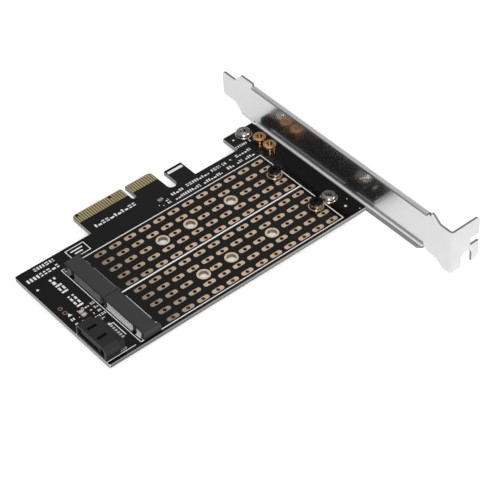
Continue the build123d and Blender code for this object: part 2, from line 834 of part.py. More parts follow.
def chip_bodies():
    """Ceramic bodies between the terminals."""
    half_body = chip_length / 2 - chip_terminal_length
    z_range = (top_z, top_z + chip_height)
    bodies = []
    for x, y in chip_places:
        y_range = (y - chip_width / 2, y + chip_width / 2)
        bodies.append(block((x - half_body, x + half_body), y_range, z_range))
    return bodies


def chip_terminals():
    """Tinned ends of the chip components."""
    z_range = (top_z, top_z + chip_height)
    terminals = []
    for x, y in chip_places:
        y_range = (y - chip_width / 2, y + chip_width / 2)
        for side in (-1, 1):
            outer_x = x + side * chip_length / 2
            inner_x = outer_x - side * chip_terminal_length
            terminals.append(block(sorted((inner_x, outer_x)), y_range, z_range))
    return terminals


os.makedirs("parts", exist_ok=True)

save("circuit_board", [circuit_board()])
save("edge_fingers_front", edge_fingers((top_z, top_z + copper_thickness)))
save("edge_fingers_back", edge_fingers((bottom_z - copper_thickness, bottom_z)))
save("thermal_pads", thermal_pads())
save("mounting_hole_rings", mounting_hole_rings())
save("m_key_socket_housing", [socket_housing(upper_module_y, upper_key_first_place)])
save("m_key_socket_contacts", socket_contacts(upper_module_y, upper_key_first_place))
save("b_key_socket_housing", [socket_housing(lower_module_y, lower_key_first_place)])
save("b_key_socket_contacts", socket_contacts(lower_module_y, lower_key_first_place))
save("drive_socket_hold_downs", socket_hold_downs())
save("cable_socket_housing", [cable_socket_housing()])
save("cable_socket_contacts", cable_socket_contacts())
save("cable_socket_hold_downs", cable_socket_hold_downs())
save("slot_bracket", [slot_bracket()])
save("bracket_screws", bracket_screws())
save("module_standoffs", standoffs(post_places))
save("spare_standoffs", standoffs(spare_standoff_places))
save("module_screws", module_screws())
save("chip_bodies", chip_bodies())
save("chip_terminals", chip_terminals())
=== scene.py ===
import math
import random

import bmesh
import bpy
from bpy.props import FloatProperty, FloatVectorProperty, IntProperty, PointerProperty
from mathutils import Matrix, Vector


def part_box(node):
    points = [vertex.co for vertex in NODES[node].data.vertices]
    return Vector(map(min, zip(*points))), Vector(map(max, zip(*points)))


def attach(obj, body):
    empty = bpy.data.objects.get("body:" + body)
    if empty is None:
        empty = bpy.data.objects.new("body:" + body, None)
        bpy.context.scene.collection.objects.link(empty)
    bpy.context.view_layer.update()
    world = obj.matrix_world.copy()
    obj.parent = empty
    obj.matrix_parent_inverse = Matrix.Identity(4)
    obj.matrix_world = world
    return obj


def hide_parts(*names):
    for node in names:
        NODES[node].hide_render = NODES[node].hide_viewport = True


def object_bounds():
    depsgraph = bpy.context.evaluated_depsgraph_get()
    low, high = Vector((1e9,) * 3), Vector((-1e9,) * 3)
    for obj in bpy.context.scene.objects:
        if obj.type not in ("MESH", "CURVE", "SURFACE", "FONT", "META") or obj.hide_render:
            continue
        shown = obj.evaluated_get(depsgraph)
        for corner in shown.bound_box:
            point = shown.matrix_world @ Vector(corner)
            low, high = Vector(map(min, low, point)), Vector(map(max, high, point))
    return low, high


bl_info = {
    "name": "Drive adapter card",
    "version": (1, 0, 0),
    "blender": (4, 5, 0),
    "location": "3D View > Sidebar > Adapter card",
    "description": "Dresses the packed adapter card with its copper, print, sockets and bracket",
    "category": "Object",
}

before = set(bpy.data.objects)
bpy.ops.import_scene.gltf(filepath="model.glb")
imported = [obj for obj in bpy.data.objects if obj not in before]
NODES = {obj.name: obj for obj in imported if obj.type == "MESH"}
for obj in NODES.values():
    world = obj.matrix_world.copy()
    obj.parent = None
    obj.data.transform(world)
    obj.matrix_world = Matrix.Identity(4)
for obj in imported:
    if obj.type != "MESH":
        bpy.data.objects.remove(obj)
CAD_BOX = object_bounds()
MM = 0.001
BODY = "root"

# Levels of the board's faces in metres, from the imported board
BOARD_LOW, BOARD_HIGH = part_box("circuit_board")
BOARD_TOP = BOARD_HIGH.z
BOARD_BOTTOM = BOARD_LOW.z


# Places in the part's own frame

def place(x, y):
    """Point at the board's middle level, given in millimetres."""
    return Vector((x * MM, y * MM, 0.0))


def on_board(x, y):
    """Point on the board's upper face, given in millimetres."""
    return place(x, y) + Vector((0.0, 0.0, BOARD_TOP))


def module_holes(lengths):
    """Places in millimetres of the mounting holes for drives of some lengths, row by row."""
    return [(MODULE_STOP_X + length, row) for row in MODULE_ROWS_Y for length in lengths]


# Mounting holes, heat pads, posts and bracket, in millimetres
MODULE_STOP_X = -35.95
MODULE_LENGTHS = (30.0, 42.0, 60.0, 80.0)
MODULE_ROWS_Y = (-31.25, -53.5)
PAD_COLUMNS = 12
PAD_ROWS = 10
FIRST_PAD = (43.45, -22.35)
PAD_PITCH = (6.3, 4.45)
POST_PLACES = module_holes(MODULE_LENGTHS[-1:])
SPARE_PLACES = ((52.25, -13.25), (52.25, -18.95))
BRACKET_SCREWS = ((50.25, -6.6), (50.25, -53.1))
BRACKET_SHEET = 0.86
SHEET_TOLERANCE = 0.002

# Copper that the solids leave out: two lead holes, and seats round posts and bracket screws
LEAD_PLACES = ((-51.1, -34.45), (-51.05, -37.05))
LEAD_RING = 1.7
LEAD_HOLE = 1.0
POST_SEAT = (2.47, 2.78)
SCREW_SEAT = (2.87, 3.12)
SEAT_THICKNESS = 0.03
SEAT_LIMIT_Y = -4.07

# Solder on the seven tails behind the cable socket, in millimetres
CABLE_CONTACTS = 7
CABLE_PITCH = 1.27
LAND_WIDTH = 0.68
LAND_ENDS = (-46.3, -42.7)
LAND_HEIGHT = 0.12
LAND_ROUNDING = 0.8

# Turned pieces in millimetres; outlines are points of radius and height
STANDOFF_TOP = 2.7
STANDOFF_FOOT = -0.8
STANDOFF_BORE = 1.0
STANDOFF_OUTLINE = (
    (STANDOFF_BORE, STANDOFF_FOOT), (1.62, STANDOFF_FOOT), (1.7, -0.72), (1.7, 0.8), (2.32, 0.8),
    (2.45, 0.95), (2.45, STANDOFF_TOP - 0.16), (2.41, STANDOFF_TOP - 0.05), (2.32, STANDOFF_TOP),
    (1.1, STANDOFF_TOP), (STANDOFF_BORE, STANDOFF_TOP - 0.12))
PAN_HEAD_FOOT = 0.8
PAN_HEAD_SHOULDER = 1.35
PAN_HEAD_TOP = 2.6
PAN_HEAD_RADIUS = 2.85
PAN_CROWN_REACH = 1.5
PAN_CROWN_RISE = 1.22
PAN_CROWN_STEPS = 6
SHANK_TIP = ((0.0, -2.66), (1.15, -2.66))
SHANK_NECK = (1.45, 0.75)
FLAT_HEAD_OUTLINE = (
    (0.0, STANDOFF_TOP - 1.6), (0.95, STANDOFF_TOP - 1.6), (0.95, STANDOFF_TOP),
    (2.2, STANDOFF_TOP), (2.35, STANDOFF_TOP + 0.1), (2.35, STANDOFF_TOP + 0.42),
    (2.2, STANDOFF_TOP + 0.62), (1.6, STANDOFF_TOP + 0.78), (0.0, STANDOFF_TOP + 0.8))

# Fineness of the meshes: segments of a turn, and angles in degrees that stay smooth
TURN_SEGMENTS = 48
HOLE_SEGMENTS = 16
TURNED_SMOOTH = 32
MOULDED_SMOOTH = 35
SOLDER_SMOOTH = 40
BEVEL_ANGLE = 40
MERGE_DISTANCE = 1e-7

# Colour gains of the plating: rose and straw for its own uneven tone, and painted shade that
# darkens it towards the sockets; and the span along X in millimetres where that painted shade
# fades out
ROSE_GAINS = (1.02, 0.97, 1.10)
STRAW_GAINS = (0.92, 0.97, 0.92)
PAINTED_SHADE_GAINS = (0.46, 0.48, 0.52)
PAINTED_SHADE_SPAN = (-29.0, -9.0)

# Painted highlight inside the bracket's lower fold, a strip of less metallic and so paler steel:
# levels and reach along X in millimetres
FOLD_TOP = -0.28
FOLD_FADE = 0.1
FOLD_LOW = -0.95
FOLD_ACROSS = (58.16, 58.7)
FOLD_HIGHLIGHT_METALLIC = 0.25

# Depths and places in millimetres where the colours of the board and the chips change
FACE_DEPTH = 0.012
END_DEPTH = 0.02
# The laminate's lower half, its long side towards the sockets and its end by the bracket take
# painted shade
LAMINATE_PAINTED_SHADE_SPLIT = (-0.05, 0.12)
LAMINATE_PAINTED_SHADE_X = -55.0
LAMINATE_PAINTED_LIGHT = (0.36, 0.8)
CHIP_SPLIT_X = -20.0


# Sizes and colours that a user would change

class CopperSettings(bpy.types.PropertyGroup):
    """Sizes of the plated copper on the board."""

    pad_length: FloatProperty(
        name="Pad length", description="End to end length of a heat pad",
        default=4.8 * MM, min=0.001, unit="LENGTH")
    pad_width: FloatProperty(
        name="Pad width", description="Width of a heat pad and twice its end radius",
        default=1.9 * MM, min=0.0005, unit="LENGTH")
    via_diameter: FloatProperty(
        name="Pad hole", description="Bore of the plated hole in each heat pad",
        default=1.42 * MM, min=0.0002, unit="LENGTH")
    plating: FloatProperty(
        name="Plating", description="Thickness of the plating in the holes",
        default=0.045 * MM, min=0.00001, unit="LENGTH")
    ring_diameter: FloatProperty(
        name="Ring diameter", description="Outer diameter of the rings round the mounting holes",
        default=4.9 * MM, min=0.001, unit="LENGTH")
    hole_diameter: FloatProperty(
        name="Mounting hole", description="Bore of the mounting holes",
        default=3.5 * MM, min=0.001, unit="LENGTH")
    colour: FloatVectorProperty(
        name="Gold", description="Base colour of the gold-plated copper", subtype="COLOR",
        default=(0.96, 0.73, 0.52), min=0.0, max=1.0)


class FinishSettings(bpy.types.PropertyGroup):
    """Base colours of the card's materials."""

    mask: FloatVectorProperty(
        name="Solder mask", description="Colour of the board's faces", subtype="COLOR",
        default=(0.0018, 0.0017, 0.0017), min=0.0, max=1.0)
    laminate: FloatVectorProperty(
        name="Laminate", description="Colour of the board's bare edges", subtype="COLOR",
        default=(0.52, 0.51, 0.49), min=0.0, max=1.0)
    steel: FloatVectorProperty(
        name="Bracket steel", description="Colour of the bright bracket", subtype="COLOR",
        default=(0.80, 0.80, 0.80), min=0.0, max=1.0)
    brass: FloatVectorProperty(
        name="Standoff brass", description="Colour of the turned standoffs", subtype="COLOR",
        default=(0.95, 0.55, 0.28), min=0.0, max=1.0)
    socket: FloatVectorProperty(
        name="Drive socket plastic", description="Colour of the drive sockets", subtype="COLOR",
        default=(0.032, 0.032, 0.033), min=0.0, max=1.0)


class PrintSettings(bpy.types.PropertyGroup):
    """The white print on the board."""

    ink_height: FloatProperty(
        name="Ink height", description="How far the print stands above the solder mask",
        default=0.02 * MM, min=0.000001, unit="LENGTH")
    line_width: FloatProperty(
        name="Line width", description="Width of the frame lines round the drive places",
        default=0.36 * MM, min=0.00005, unit="LENGTH")
    divider_width: FloatProperty(
        name="Divider width", description="Width of the line between the two drive places",
        default=0.6 * MM, min=0.00005, unit="LENGTH")
    mark_seed: IntProperty(
        name="Mark seed", description="Seed of the uneven widths of the plain printed marks",
        default=7, min=0)


class StageSettings(bpy.types.PropertyGroup):
    """Floor, light and camera."""

    floor_size: FloatProperty(
        name="Floor size", description="Width of the square floor", default=6.0, unit="LENGTH")
    sky_strength: FloatProperty(
        name="Sky strength", description="Brightness of the even light round the card",
        default=0.74, min=0.0)
    key_power: FloatProperty(
        name="Key light", description="Power of the softbox by the camera", default=2.4, min=0.0,
        unit="POWER")


# Shader nodes

NUMBER = "NodeSocketFloat"
VECTOR = "NodeSocketVector"
COLOUR = "NodeSocketColor"
AXES = {"X": (1.0, 0.0, 0.0), "Y": (0.0, 1.0, 0.0), "Z": (0.0, 0.0, 1.0)}
SHARP_WIDTH = 0.001 * MM


def feed(tree, node, values):
    """Link or set a node's inputs, by name or number, and give its outputs."""
    for name, value in values.items():
        socket = node.inputs[name]
        if isinstance(value, bpy.types.NodeSocket):
            tree.links.new(value, socket)
        elif socket.type == "RGBA":
            socket.default_value = (*value, 1.0)
        else:
            socket.default_value = value
    return node.outputs


def math_node(tree, operation, first, second):
    """Result of a math node on numbers or sockets."""
    node = tree.nodes.new("ShaderNodeMath")
    node.operation = operation
    return feed(tree, node, {0: first, 1: second})[0]


def vector_node(tree, operation, values):
    """Outputs of a vector math node on vectors or sockets, by name or number."""
    node = tree.nodes.new("ShaderNodeVectorMath")
    node.operation = operation
    return feed(tree, node, values)


def scaled(tree, colour, amount):
    """Colour socket times a number socket."""
    return vector_node(tree, "SCALE", {0: colour, "Scale": amount})["Vector"]


def mix_colour(tree, factor, low, high):
    """Mix of two colours or sockets by a factor socket."""
    node = tree.nodes.new("ShaderNodeMix")
    node.data_type = "RGBA"
    return feed(tree, node, {"Factor": factor, 6: low, 7: high})[2]


def map_range(tree, value, start=0.0, end=1.0, low=0.0, high=1.0, smooth=False):
    """Map a value between start and end onto low to high, and hold it beyond them."""
    node = tree.nodes.new("ShaderNodeMapRange")
    if smooth:
        node.interpolation_type = "SMOOTHSTEP"
    return feed(tree, node, {"Value": value, "From Min": start, "From Max": end,
                             "To Min": low, "To Max": high})["Result"]


def toned(colour, *gains):
    """Colour times one gain, or times one gain for each channel."""
    return [channel * gain for channel, gain in zip(colour, gains * 3)]


# Effects that several materials share, each a shader node group

EFFECTS = {}


def new_effect(name, inputs, outputs):
    """Empty shader node group, its named inputs, and the node that its outputs leave by."""
    group = bpy.data.node_groups.new(name, "ShaderNodeTree")
    for socket_name, kind in inputs:
        group.interface.new_socket(socket_name, in_out="INPUT", socket_type=kind)
    for socket_name, kind in outputs:
        group.interface.new_socket(socket_name, in_out="OUTPUT", socket_type=kind)
    entry = group.nodes.new("NodeGroupInput")
    return group, entry.outputs, group.nodes.new("NodeGroupOutput")


def add_effect(tree, build, inputs):
    """Place a shared effect, built when it is first used, and give its outputs."""
    if build not in EFFECTS:
        EFFECTS[build] = build()
    node = tree.nodes.new("ShaderNodeGroup")
    node.node_tree = EFFECTS[build]
    return feed(tree, node, inputs)


def uneven_surface_effect():
    """Soft cloud and fine grain, with a tone and a roughness that drift with the cloud."""
    group, given, leave = new_effect(
        "Uneven surface",
        (("Position", VECTOR), ("Cloud scale", NUMBER), ("Grain scale", NUMBER),
         ("Colour", COLOUR), ("Darkest", NUMBER), ("Smoothest", NUMBER), ("Roughest", NUMBER)),
        (("Cloud", NUMBER), ("Grain", NUMBER), ("Tone", COLOUR), ("Roughness", NUMBER)))
    cloud, grain = [
        feed(group, group.nodes.new("ShaderNodeTexNoise"), {
            "Vector": given["Position"], "Scale": given[scale_name], "Detail": detail})["Fac"]
        for scale_name, detail in (("Cloud scale", 3.0), ("Grain scale", 2.0))]
    shade = map_range(group, cloud, low=given["Darkest"])
    feed(group, leave, {
        "Cloud": cloud, "Grain": grain, "Tone": scaled(group, given["Colour"], shade),
        "Roughness": map_range(
            group, cloud, low=given["Smoothest"], high=given["Roughest"])})
    return group


def axis_run_effect():
    """Mask that runs from 0 to 1 between two places along an axis."""
    group, given, leave = new_effect(
        "Run along an axis",
        (("Position", VECTOR), ("Axis", VECTOR), ("Start", NUMBER), ("End", NUMBER)),
        (("Mask", NUMBER),))
    along = vector_node(group, "DOT_PRODUCT", {0: given["Position"], 1: given["Axis"]})["Value"]
    feed(group, leave, {"Mask": map_range(group, along, given["Start"], given["End"])})
    return group


def plating_effect():
    """Plating that drifts from rose to straw, darkened by painted shade at one end and down its
    holes.
    """
    group, given, leave = new_effect(
        "Plating",
        (("Cloud", NUMBER), ("Out of painted shade", NUMBER), ("Out of hole", NUMBER), ("Rose", COLOUR),
         ("Straw", COLOUR), ("Painted shade", COLOUR), ("Painted barrel shade", COLOUR)),
        (("Colour", COLOUR),))
    drift = map_range(group, given["Cloud"], 0.36, 0.64)
    own_gold_tone = mix_colour(group, drift, given["Rose"], given["Straw"])
    face = mix_colour(group, given["Out of painted shade"], given["Painted shade"], own_gold_tone)
    shown = mix_colour(group, given["Out of hole"], given["Painted barrel shade"], face)
    feed(group, leave, {"Colour": shown})
    return group


def uneven(tree, position, cloud_scale, grain_scale, colour=(1.0, 1.0, 1.0), darkest=1.0,
           roughness=(0.5, 0.5)):
    """Place the uneven surface and give its outputs."""
    return add_effect(tree, uneven_surface_effect, {
        "Position": position, "Cloud scale": cloud_scale, "Grain scale": grain_scale,
        "Colour": colour, "Darkest": darkest,
        "Smoothest": roughness[0], "Roughest": roughness[1]})


def run_along(tree, position, axis, start, end):
    """Mask that runs from 0 at start to 1 at end along an axis, in metres."""
    placed = add_effect(tree, axis_run_effect, {
        "Position": position, "Axis": AXES[axis], "Start": start, "End": end})
    return placed["Mask"]


def past(tree, position, axis, limit):
    """Sharp mask of what lies past a limit along an axis, in metres."""
    return run_along(tree, position, axis, limit, limit + SHARP_WIDTH)


def short_of(tree, position, axis, limit):
    """Sharp mask of what lies short of a limit along an axis, in metres."""
    return run_along(tree, position, axis, limit, limit - SHARP_WIDTH)


def from_middle(tree, position):
    """Position with its signs dropped, so that both faces of the board read alike."""
    return vector_node(tree, "ABSOLUTE", {0: position})["Vector"]


def bump(tree, height, depth, strength):
    """Normal bent by a height mask, whose relief has a depth in millimetres."""
    return feed(tree, tree.nodes.new("ShaderNodeBump"), {
        "Height": height, "Distance": depth * MM, "Strength": strength})["Normal"]


# Materials

MATERIALS = {}


def new_material(name):
    """New material's tree and shader, and the object coordinates that its effects read."""
    material = bpy.data.materials.new(name)
    material.use_nodes = True
    MATERIALS[name] = material
    tree = material.node_tree
    shader = tree.nodes["Principled BSDF"]
    position = tree.nodes.new("ShaderNodeTexCoord").outputs["Object"]
    return tree, shader, position


def card_material(name):
    """Material of the card by its name; all are made when the first is asked for."""
    if not MATERIALS:
        make_materials(bpy.context.scene.adapter_card)
    return MATERIALS[name]


def metal_material(name, colour, darkest, roughness, cloud_scale, grain_scale, grain_depth,
                   metallic=1.0):
    """Metal whose tone and roughness drift over the surface; gives tree, shader, position."""
    tree, shader, position = new_material(name)
    surface = uneven(tree, position, cloud_scale, grain_scale, colour, darkest, roughness)
    feed(tree, shader, {
        "Base Color": surface["Tone"], "Roughness": surface["Roughness"], "Metallic": metallic,
        "Normal": bump(tree, surface["Grain"], grain_depth, 0.35)})
    return tree, shader, position


def bracket_material(colour):
    """Bright steel, with a pale painted highlight along the inside of its lower fold."""
    tree, shader, position = metal_material(
        "bracket_steel", colour, 0.96, (0.17, 0.21), 40.0, 900.0, 0.001)
    # Painted highlight: the steel turns less metallic, and so paler, along the inside of the
    # lower fold
    mask = run_along(tree, position, "Z", FOLD_TOP * MM, (FOLD_TOP - FOLD_FADE) * MM)
    for limit in (past(tree, position, "Z", FOLD_LOW * MM),
                  past(tree, position, "X", FOLD_ACROSS[0] * MM),
                  short_of(tree, position, "X", FOLD_ACROSS[1] * MM)):
        mask = math_node(tree, "MULTIPLY", mask, limit)
    feed(tree, shader, {"Metallic": map_range(tree, mask, low=1.0, high=FOLD_HIGHLIGHT_METALLIC)})


def plated_material(name, colour, barrel_shade_colour, barrel_shade_depth):
    """Plated copper with painted shade towards the sockets, and painted shade down its holes
    that deepens over a depth in millimetres.
    """
    tree, shader, position = new_material(name)
    surface = uneven(tree, position, 210.0, 5200.0, roughness=(0.34, 0.5))
    # Painted shade: the plating darkens towards the sockets, where less light falls on it
    out_of_painted_shade = run_along(tree, position, "X", PAINTED_SHADE_SPAN[0] * MM, PAINTED_SHADE_SPAN[1] * MM)
    # Painted shade: the walls of the holes darken below the faces, where little light reaches
    out_of_hole = run_along(
        tree, from_middle(tree, position), "Z", BOARD_TOP - barrel_shade_depth * MM, BOARD_TOP)
    plating = add_effect(tree, plating_effect, {
        "Cloud": surface["Cloud"], "Out of painted shade": out_of_painted_shade, "Out of hole": out_of_hole,
        "Rose": toned(colour, *ROSE_GAINS), "Straw": toned(colour, *STRAW_GAINS),
        "Painted shade": toned(colour, *PAINTED_SHADE_GAINS), "Painted barrel shade": barrel_shade_colour})
    feed(tree, shader, {
        "Base Color": plating["Colour"], "Roughness": surface["Roughness"], "Metallic": 1.0,
        "Normal": bump(tree, surface["Grain"], 0.01, 0.35)})


def plastic_material(name, colour, roughness, grain_depth):
    """Moulded plastic with a fine spark-eroded grain."""
    tree, shader, position = new_material(name)
    surface = uneven(tree, position, 220.0, 5200.0, colour, 0.8)
    grain = surface["Grain"]
    feed(tree, shader, {
        "Base Color": surface["Tone"], "Specular IOR Level": 0.35,
        "Roughness": map_range(tree, grain, low=roughness[0], high=roughness[1]),
        "Normal": bump(tree, grain, grain_depth, 0.4)})


def ceramic_material():
    """Chip bodies, pale by the cable socket and brown by the card edge."""
    tree, shader, position = new_material("chip_ceramic")
    surface = uneven(tree, position, 400.0, 6000.0)
    by_card_edge = past(tree, position, "X", CHIP_SPLIT_X * MM)
    light = mix_colour(tree, by_card_edge, (0.56, 0.43, 0.40), (0.26, 0.19, 0.15))
    dark = mix_colour(tree, by_card_edge, (0.46, 0.35, 0.33), (0.20, 0.145, 0.115))
    feed(tree, shader, {
        "Base Color": mix_colour(tree, surface["Cloud"], dark, light),
        "Roughness": map_range(tree, surface["Grain"], low=0.4, high=0.55),
        "Normal": bump(tree, surface["Grain"], 0.01, 0.4)})


def ink_material(name, tone):
    """Slightly uneven white screen print."""
    tree, shader, position = new_material(name)
    surface = uneven(tree, position, 700.0, 6000.0, (tone, tone, tone), 0.86)
    feed(tree, shader, {
        "Base Color": surface["Tone"], "Roughness": 0.55,
        "Normal": bump(tree, surface["Grain"], 0.004, 0.3)})


def laminate_colour(tree, position, laminate):
    """Colour of the board's edges: fibre layers, with painted shade on the lower half and along
    the long side towards the sockets, and a painted shadow on the end by the bracket.
    """
    layers = tree.nodes.new("ShaderNodeTexWave")
    layers.bands_direction = "Z"
    fibre = feed(tree, layers, {
        "Vector": position, "Scale": 1300.0, "Distortion": 2.0, "Detail Scale": 400.0})["Fac"]
    # Painted shade: the lower half of each edge is darker
    shaded = toned(laminate, 0.62)
    upper_half = mix_colour(tree, fibre, toned(laminate, 0.82), laminate)
    painted_shade_lower_half = mix_colour(tree, fibre, toned(shaded, 0.8), shaded)
    above_middle = run_along(
        tree, position, "Z", LAMINATE_PAINTED_SHADE_SPLIT[0] * MM, LAMINATE_PAINTED_SHADE_SPLIT[1] * MM)
    plain_side = mix_colour(tree, above_middle, painted_shade_lower_half, upper_half)
    # Painted light: the long side grows lighter towards the bracket
    painted_light_towards_bracket = run_along(tree, position, "X", LAMINATE_PAINTED_SHADE_X * MM, BOARD_HIGH.x)
    light = map_range(tree, painted_light_towards_bracket, low=LAMINATE_PAINTED_LIGHT[0], high=LAMINATE_PAINTED_LIGHT[1])
    on_long_side = short_of(tree, position, "Y", BOARD_LOW.y + END_DEPTH * MM)
    sides = mix_colour(tree, on_long_side, plain_side, scaled(tree, plain_side, light))
    # Painted shadow: the end by the bracket is near black, as the gap to the bracket lies in
    # shade
    painted_shadow_on_bracket_end = past(tree, position, "X", BOARD_HIGH.x - END_DEPTH * MM)
    return mix_colour(tree, painted_shadow_on_bracket_end, sides, (0.012, 0.012, 0.012))


def board_material(finish):
    """Near-black solder mask on both faces and pale layered laminate on the edges."""
    tree, shader, position = new_material("board_mask")
    surface = uneven(tree, position, 90.0, 2500.0, roughness=(0.07, 0.13))
    warm = toned(finish.mask, 1.5, 1.15, 0.9)
    face_colour = mix_colour(tree, surface["Cloud"], finish.mask, warm)
    on_face = past(tree, from_middle(tree, position), "Z", BOARD_TOP - FACE_DEPTH * MM)
    edge_colour = laminate_colour(tree, position, finish.laminate)
    edge_roughness = map_range(tree, on_face, low=0.45, high=0.0)
    feed(tree, shader, {
        "Base Color": mix_colour(tree, on_face, edge_colour, face_colour),
        "Roughness": math_node(tree, "ADD", surface["Roughness"], edge_roughness),
        "Specular IOR Level": 0.27, "Normal": bump(tree, surface["Grain"], 0.004, 0.25)})


# Metals as name, colour, darkest share, roughness, cloud scale, grain scale, depth, metallic
METALS = (
    ("finger_gold", (0.72, 0.58, 0.31), 0.86, (0.3, 0.42), 300.0, 5200.0, 0.008),
    # Sheared sides: rougher as cut steel is, and darkened as a painted dark reflection
    ("sheared_steel", (0.33, 0.33, 0.33), 0.8, (0.4, 0.55), 500.0, 4200.0, 0.01),
    ("screw_steel", (0.46, 0.46, 0.45), 0.8, (0.10, 0.2), 500.0, 4200.0, 0.006),
    ("black_screw", (0.022, 0.020, 0.026), 0.7, (0.22, 0.34), 500.0, 5000.0, 0.006),
    ("post_brass", (0.60, 0.54, 0.42), 0.7, (0.14, 0.24), 500.0, 4200.0, 0.006),
    # Painted shade: dark brown for the brass down the standoffs' bores
    ("standoff_bore", (0.22, 0.10, 0.035), 0.6, (0.3, 0.45), 500.0, 4200.0, 0.006),
    # Solder: bright as tin is, and near white and hardly metallic as a painted highlight for its
    # shine
    ("solder", (0.94, 0.94, 0.94), 0.9, (0.25, 0.4), 900.0, 5000.0, 0.01, 0.2),
    ("tinned_lead", (0.72, 0.72, 0.70), 0.8, (0.25, 0.42), 600.0, 5000.0, 0.006),
    # Painted light: a darker and a paler, less metallic copy of the tin stand in for shade and
    # shine on the two sockets' contact rows
    ("tinned_lead_dull", (0.34, 0.34, 0.33), 0.7, (0.3, 0.45), 600.0, 5000.0, 0.006, 0.4),
    ("tinned_lead_bright", (0.90, 0.90, 0.90), 0.9, (0.3, 0.45), 600.0, 5000.0, 0.006, 0.3))


def make_materials(settings):
    """Make every material of the card."""
    finish = settings.finish
    for row in METALS:
        metal_material(*row)
    metal_material("standoff_brass", finish.brass, 0.85, (0.13, 0.22), 400.0, 4200.0, 0.006)
    bracket_material(finish.steel)
    # The last colour and depth of each plating give the painted shade down its holes
    plated_material("gold_pad", settings.copper.colour, (0.12, 0.055, 0.03), 0.2)
    plated_material("ring_gold", (1.0, 0.85, 0.66), (0.66, 0.42, 0.19), 0.8)
    # Painted shade: the lead rings take a red-brown copper tone for gold plating in shade
    plated_material("lead_gold_painted_shade", (0.95, 0.55, 0.48), (0.095, 0.055, 0.048), 0.2)
    plastic_material("drive_socket_plastic", finish.socket, (0.42, 0.6), 0.02)
    plastic_material("cable_socket_plastic", (0.010, 0.010, 0.010), (0.35, 0.5), 0.015)
    ceramic_material()
    ink_material("print_white", 0.84)
    ink_material("print_marks", 0.78)
    board_material(finish)


# Mesh helpers

def new_object(name, data):
    """New object in the scene, whose data takes its name."""
    data.name = name
    item = bpy.data.objects.new(name, data)
    bpy.context.scene.collection.objects.link(item)
    return item


def add_piece(name, mesh, finish, replaced=()):
    """Link a finished mesh as one piece of the card, in one of its materials."""
    piece = new_object(name, mesh)
    mesh.materials.clear()
    mesh.materials.append(card_material(finish))
    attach(piece, BODY)
    if replaced:
        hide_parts(*replaced)
    return piece


def dress(node, finish):
    """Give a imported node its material."""
    for slot in NODES[node].material_slots:
        slot.material = card_material(finish)


def node_copy(node):
    """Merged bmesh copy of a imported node's loose triangles."""
    shape = bmesh.new()
    shape.from_mesh(NODES[node].data)
    bmesh.ops.remove_doubles(shape, verts=shape.verts, dist=MERGE_DISTANCE)
    return shape


def finish_mesh(shape, smooth_angle=None):
    """Turn a bmesh into a mesh with outward faces, smooth under an angle in degrees."""
    bmesh.ops.recalc_face_normals(shape, faces=shape.faces)
    mesh = bpy.data.meshes.new("shape")
    shape.to_mesh(mesh)
    shape.free()
    if smooth_angle is not None:
        mesh.shade_smooth()
        mesh.set_sharp_from_angle(angle=math.radians(smooth_angle))
    return mesh


def add_block(shape, low, high):
    """Box between two corners."""
    matrix = Matrix.Translation((low + high) / 2) @ Matrix.Diagonal((*(high - low), 1.0))
    bmesh.ops.create_cube(shape, size=1.0, matrix=matrix)


def add_copy(shape, mesh, offset):
    """Add a mesh to a bmesh, moved by an offset, and give its vertices."""
    before = set(shape.verts)
    shape.from_mesh(mesh)
    added = [vertex for vertex in shape.verts if vertex not in before]
    bmesh.ops.translate(shape, verts=added, vec=offset)
    return added


def add_turned(name, mesh, places, finish, node):
    """Piece that holds a copy of a turned mesh at each place, given in millimetres."""
    shape = bmesh.new()
    for spot in places:
        add_copy(shape, mesh, place(*spot))
    return add_piece(name, finish_mesh(shape, TURNED_SMOOTH), finish, (node,))


def lathe(outline):
    """Solid turned about +Z from an outline of radius and height points in millimetres."""
    shape = bmesh.new()
    vertices = [shape.verts.new((radius * MM, 0.0, height * MM)) for radius, height in outline]
    edges = [shape.edges.new(pair) for pair in zip(vertices, vertices[1:])]
    bmesh.ops.spin(shape, geom=vertices + edges, cent=(0, 0, 0), axis=(0, 0, 1),
                   angle=math.tau, steps=TURN_SEGMENTS, use_merge=True)
    bmesh.ops.remove_doubles(shape, verts=shape.verts, dist=MERGE_DISTANCE)
    return shape


def thread(start, pitch, turns, first_radius, second_radius):
    """Outline points of a thread in millimetres; a negative pitch runs down."""
    points = []
    for turn in range(turns):
        height = start + turn * pitch
        points += [(first_radius, height), (second_radius, height + pitch / 2)]
    return points


def cross_cutter(length, width, depth, top, taper):
    """Two crossed slots that sink from a height and taper to a share, in millimetres."""
    shape = bmesh.new()
    for size_x, size_y in ((length, width), (width, length)):
        made = bmesh.ops.create_cube(shape, size=1.0)
        for vertex in made["verts"]:
            shrink = taper if vertex.co.z < 0 else 1.0
            vertex.co.x *= size_x * MM * shrink
            vertex.co.y *= size_y * MM * shrink
            vertex.co.z = top * MM if vertex.co.z > 0 else (top - depth) * MM
    return shape


def cut_with(body, cutter):
    """Mesh of a bmesh body with a bmesh cutter taken away; both are used up."""
    items = [new_object("cut", finish_mesh(shape)) for shape in (body, cutter)]
    cut = items[0].modifiers.new("Cut", "BOOLEAN")
    cut.operation = "DIFFERENCE"
    cut.solver = "EXACT"
    cut.use_self = True
    cut.object = items[1]
    graph = bpy.context.evaluated_depsgraph_get()
    mesh = bpy.data.meshes.new_from_object(items[0].evaluated_get(graph))
    for item in items:
        bpy.data.objects.remove(item)
    return mesh


